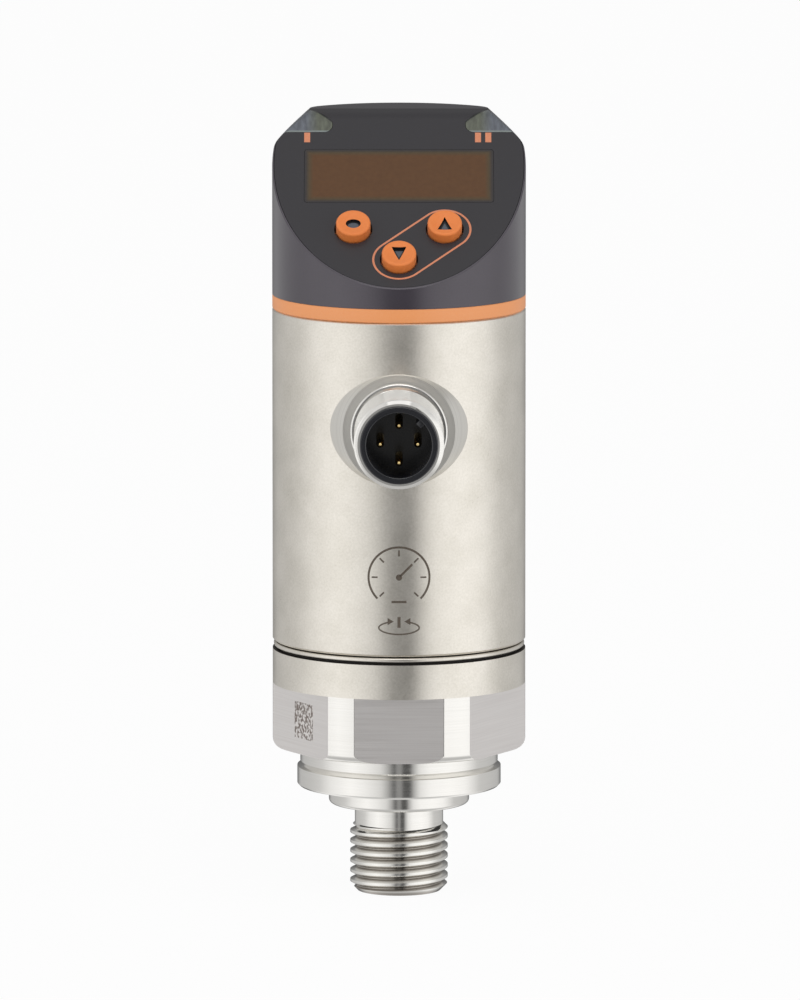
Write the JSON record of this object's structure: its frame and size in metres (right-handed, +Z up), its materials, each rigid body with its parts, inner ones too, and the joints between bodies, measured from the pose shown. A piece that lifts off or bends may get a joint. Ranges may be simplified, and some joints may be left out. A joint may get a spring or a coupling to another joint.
{
  "type": "pressure transmitter",
  "caption": "Upright steel pressure transmitter that screws into a pipe by its threaded stem, with a turning body, a round plug connector on its side and a sloped display with push buttons.",
  "frame": {"origin": "on the turning axis, in the plane of the sealing face: the underside of the seal collar just above the threaded stem", "axes": "+Z up along the turning axis from the threaded stem to the display head; -Y along the plug connector, the side the display slopes towards; +X to the right of someone reading the display"},
  "size_m": [0.034, 0.0482, 0.1048],
  "materials": {
    "process_steel": "blasted, with milled flats and polished turned faces",
    "sleeve_steel": "fine blasted",
    "connector_steel": "turned",
    "fastener_steel": "zinc plated",
    "spring_steel": "oiled",
    "seal_rubber": "moulded",
    "cell_ceramic": "sintered and ground ceramic",
    "slip_steel": "turned",
    "board_laminate": "solder mask over glass-fibre laminate",
    "component_case": "moulded",
    "cable_jacket": "extruded",
    "carrier_nylon": "moulded",
    "insert_nylon": "moulded",
    "contact_gold": "gold plated",
    "accent_orange": "moulded",
    "head_black": "fine grained moulding",
    "face_black": "fine grained moulding",
    "window_tint": "tinted, polished",
    "lens_clear": "smoke tinted, polished",
    "display_glass": "polished",
    "led_body": "moulded",
    "button_orange": "silicone-coated moulding",
    "flex_film": "polyimide film"
  },
  "bodies": {
    "process_side": {"process_connection": "process_steel", "port_seal": "seal_rubber", "restrictor_screw": "fastener_steel", "measuring_cell": "cell_ceramic", "cell_seal": "seal_rubber", "cell_clamp_ring": "fastener_steel", "cell_board": "board_laminate", "slip_ring": "slip_steel", "rotation_seal": "seal_rubber", "retaining_ring": "spring_steel", "stop_pin": "fastener_steel"},
    "housing": {"housing_sleeve": "sleeve_steel", "connector_shell": "connector_steel", "connector_insert": "insert_nylon", "contact_pins": "contact_gold", "connector_seal": "seal_rubber", "connector_retainer": "fastener_steel", "connector_board": "board_laminate", "link_header": "component_case", "main_board": "board_laminate", "board_components": "component_case", "cell_cable": "cable_jacket", "board_carrier": "carrier_nylon", "carrier_screws": "fastener_steel", "accent_ring": "accent_orange", "head_seal": "seal_rubber", "head_cap": "head_black", "face_plate": "face_black", "display_window": "window_tint", "status_lens_left": "lens_clear", "status_lens_right": "lens_clear", "display_board": "board_laminate", "display_module": "display_glass", "status_leds": "led_body", "display_flex": "flex_film", "board_screws": "fastener_steel", "key_switches": "component_case"},
    "enter_button": {"button_enter": "button_orange", "switch_stem_enter": "component_case"},
    "down_button": {"button_down": "button_orange", "switch_stem_down": "component_case"},
    "up_button": {"button_up": "button_orange", "switch_stem_up": "component_case"}
  },
  "joints": [
    {"name": "housing_turn", "type": "hinge", "parent": "process_side", "child": "housing", "pos_m": [0, 0, 0], "axis": [0, 0, 1], "range_deg": [-172.5, 172.5]},
    {"name": "press_enter", "type": "slide", "parent": "housing", "child": "enter_button", "axis": [0, 0.6521, -0.7581], "range_m": [0, 0.0005], "stiffness_N_per_m": 1500, "springref_m": -0.0003},
    {"name": "press_down", "type": "slide", "parent": "housing", "child": "down_button", "axis": [0, 0.6521, -0.7581], "range_m": [0, 0.0005], "stiffness_N_per_m": 1500, "springref_m": -0.0003},
    {"name": "press_up", "type": "slide", "parent": "housing", "child": "up_button", "axis": [0, 0.6521, -0.7581], "range_m": [0, 0.0005], "stiffness_N_per_m": 1500, "springref_m": -0.0003}
  ]
}
